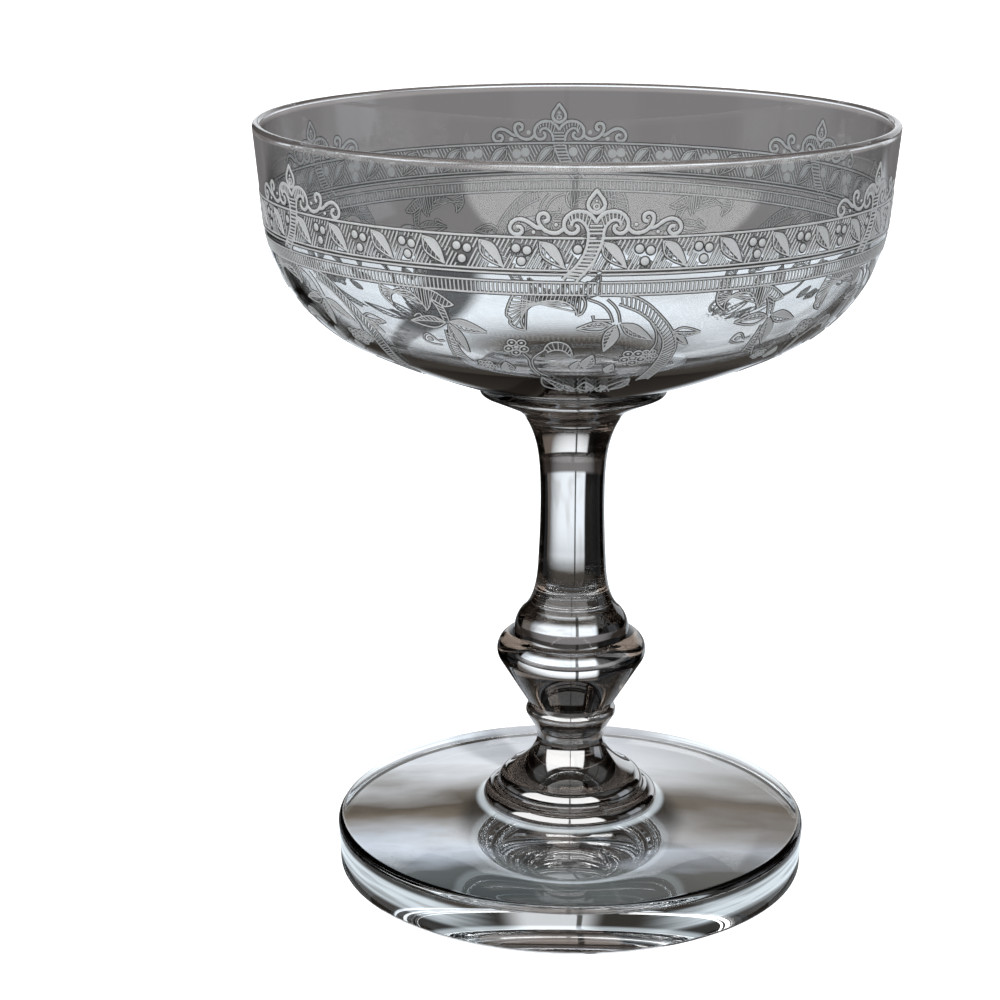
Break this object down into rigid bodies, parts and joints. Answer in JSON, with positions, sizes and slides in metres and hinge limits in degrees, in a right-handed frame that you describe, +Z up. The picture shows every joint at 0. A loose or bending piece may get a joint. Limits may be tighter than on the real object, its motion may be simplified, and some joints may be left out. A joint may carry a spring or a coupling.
{
  "type": "champagne coupe",
  "caption": "Stemmed saucer-shaped drinking glass: wide shallow bowl with etched ornament, baluster stem with rounded knops, thick disc foot.",
  "frame": {"origin": "centre of the foot's underside, on the surface the glass stands on", "axes": "+Z up along the stem's axis, towards the rim; the glass is round, so +X and +Y are equal, and +Y points away from the ornament that faces the front view"},
  "size_m": [0.097, 0.0968, 0.1196],
  "materials": {
    "clear_glass": "polished, clear, colourless lead glass",
    "etched_glass": "acid-etched, frosted white lines on the bowl's outer face"
  },
  "bodies": {
    "root": {"foot": "clear_glass", "base_collar": "clear_glass", "bell": "clear_glass", "ring_collar": "clear_glass", "wide_knop": "clear_glass", "shaft": "clear_glass", "bowl_collar": "clear_glass", "bowl": "clear_glass"}
  },
  "joints": []
}
